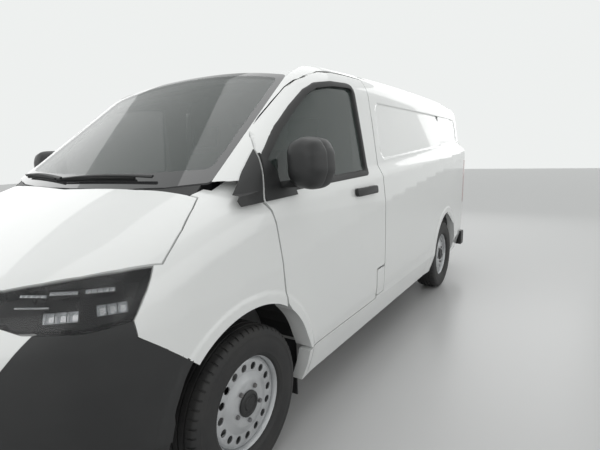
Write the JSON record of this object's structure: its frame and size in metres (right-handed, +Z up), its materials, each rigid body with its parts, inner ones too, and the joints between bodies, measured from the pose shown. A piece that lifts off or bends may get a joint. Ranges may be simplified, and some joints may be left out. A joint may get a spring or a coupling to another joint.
{
  "type": "panel van",
  "caption": "White panel van with a hollow cab and load space, hinged cab doors, bonnet and rear doors, steered front wheels and rolling wheels.",
  "frame": {"origin": "on the ground under the middle of the bounding box", "axes": "+X to the van's left side, +Y towards the tail, +Z up"},
  "size_m": [2.374, 5.0498, 1.9776],
  "materials": {
    "white_paint": "gloss white body paint",
    "black_plastic": "grained black moulded plastic",
    "dark_trim": "soft grained dark grey trim",
    "glass": "tinted laminated glass",
    "lamp_lens": "clear smoked lamp cover",
    "lamp_body": "dark lamp housing with bright reflectors",
    "red_lens": "red ribbed lamp lens",
    "tyre": "road tyre rubber",
    "wheel_silver": "silver painted pressed steel",
    "seat_cloth": "dark grey woven cloth",
    "chassis_black": "black chassis paint",
    "inner_paint": "satin white inner paint",
    "engine_iron": "cast block",
    "tank_plastic": "black blow moulded tank",
    "exhaust_steel": "dull stainless tube"
  },
  "bodies": {
    "van_body": {"arch_liners": "black_plastic", "bulkhead": "inner_paint", "bumper_corners": "black_plastic", "chassis_rails": "chassis_black", "cowl": "black_plastic", "dashboard": "dark_trim", "driver_seat": "seat_cloth", "engine": "engine_iron", "exhaust": "exhaust_steel", "firewall": "chassis_black", "floor": "inner_paint", "front_bumper": "white_paint", "front_suspension": "chassis_black", "fuel_tank": "tank_plastic", "grille": "black_plastic", "headlamp_lenses": "lamp_lens", "headlamps": "lamp_body", "hinge_pillars": "chassis_black", "lower_grille": "black_plastic", "mudflaps": "black_plastic", "passenger_bench": "seat_cloth", "pillar_trims": "black_plastic", "rear_axle": "chassis_black", "rear_bumper": "black_plastic", "roof": "white_paint", "side_panel_left": "white_paint", "side_panel_right": "white_paint", "sliding_door_right": "white_paint", "spare_wheel": "tyre", "steering_column": "dark_trim", "tail_lamps": "red_lens", "windscreen": "glass", "wing_left": "white_paint", "wing_right": "white_paint"},
    "knuckle_body_left": {"knuckle_left": "chassis_black"},
    "knuckle_body_right": {"knuckle_right": "chassis_black"},
    "wheel_front_left": {"rim_front_left": "wheel_silver", "tyre_front_left": "tyre"},
    "wheel_front_right": {"rim_front_right": "wheel_silver", "tyre_front_right": "tyre"},
    "wheel_rear_left": {"rim_rear_left": "wheel_silver", "tyre_rear_left": "tyre"},
    "wheel_rear_right": {"rim_rear_right": "wheel_silver", "tyre_rear_right": "tyre"},
    "steering_wheel_body": {"steering_wheel": "dark_trim"},
    "bonnet_body": {"bonnet": "white_paint"},
    "cab_door_left": {"front_door_left": "white_paint", "door_glass_left": "glass", "mirror_left": "black_plastic", "door_handle_left": "black_plastic"},
    "cab_door_right": {"front_door_right": "white_paint", "door_glass_right": "glass", "mirror_right": "black_plastic", "door_handle_right": "black_plastic"},
    "load_door_left": {"rear_door_left": "white_paint"},
    "load_door_right": {"rear_door_right": "white_paint"},
    "filler_flap_body": {"filler_flap": "white_paint"}
  },
  "joints": [
    {"name": "steer_left", "type": "hinge", "parent": "van_body", "child": "knuckle_body_left", "pos_m": [0.79, -1.52, 0.343], "axis": [0, 0, 1], "range_deg": [-36, 36]},
    {"name": "steer_right", "type": "hinge", "parent": "van_body", "child": "knuckle_body_right", "pos_m": [-0.79, -1.52, 0.343], "axis": [0, 0, 1], "range_deg": [-36, 36]},
    {"name": "roll_front_left", "type": "hinge", "parent": "knuckle_body_left", "child": "wheel_front_left", "pos_m": [0.868, -1.52, 0.343], "axis": [1, 0, 0], "continuous": true},
    {"name": "roll_front_right", "type": "hinge", "parent": "knuckle_body_right", "child": "wheel_front_right", "pos_m": [-0.868, -1.52, 0.343], "axis": [1, 0, 0], "continuous": true},
    {"name": "roll_rear_left", "type": "hinge", "parent": "van_body", "child": "wheel_rear_left", "pos_m": [0.868, 1.58, 0.343], "axis": [1, 0, 0], "continuous": true},
    {"name": "roll_rear_right", "type": "hinge", "parent": "van_body", "child": "wheel_rear_right", "pos_m": [-0.868, 1.58, 0.343], "axis": [1, 0, 0], "continuous": true},
    {"name": "turn_steering_wheel", "type": "hinge", "parent": "van_body", "child": "steering_wheel_body", "pos_m": [0.42, -1.105, 1.062], "axis": [0, 0.8141, 0.5807], "range_deg": [-540, 540]},
    {"name": "open_bonnet", "type": "hinge", "parent": "van_body", "child": "bonnet_body", "pos_m": [0, -1.508, 1.262], "axis": [-1, 0, 0], "range_deg": [0, 50]},
    {"name": "open_cab_door_left", "type": "hinge", "parent": "van_body", "child": "cab_door_left", "pos_m": [1.004, -1.372, 0.8], "axis": [0.0523, 0, -0.9986], "range_deg": [0, 65]},
    {"name": "open_cab_door_right", "type": "hinge", "parent": "van_body", "child": "cab_door_right", "pos_m": [-1.004, -1.372, 0.8], "axis": [0.0523, 0, 0.9986], "range_deg": [0, 65]},
    {"name": "open_load_door_left", "type": "hinge", "parent": "van_body", "child": "load_door_left", "pos_m": [0.93, 2.494, 1.1], "axis": [0, 0, -1], "range_deg": [0, 170]},
    {"name": "open_load_door_right", "type": "hinge", "parent": "van_body", "child": "load_door_right", "pos_m": [-0.93, 2.494, 1.1], "axis": [0, 0, 1], "range_deg": [0, 170]},
    {"name": "open_filler_flap", "type": "hinge", "parent": "van_body", "child": "filler_flap_body", "pos_m": [1.012, -0.108, 0.541], "axis": [0, 0, 1], "range_deg": [0, 100]}
  ],
  "couplings": [
    {"joint": "steer_right", "follows": "steer_left", "ratio": 1},
    {"joint": "turn_steering_wheel", "follows": "steer_left", "ratio": 15}
  ]
}
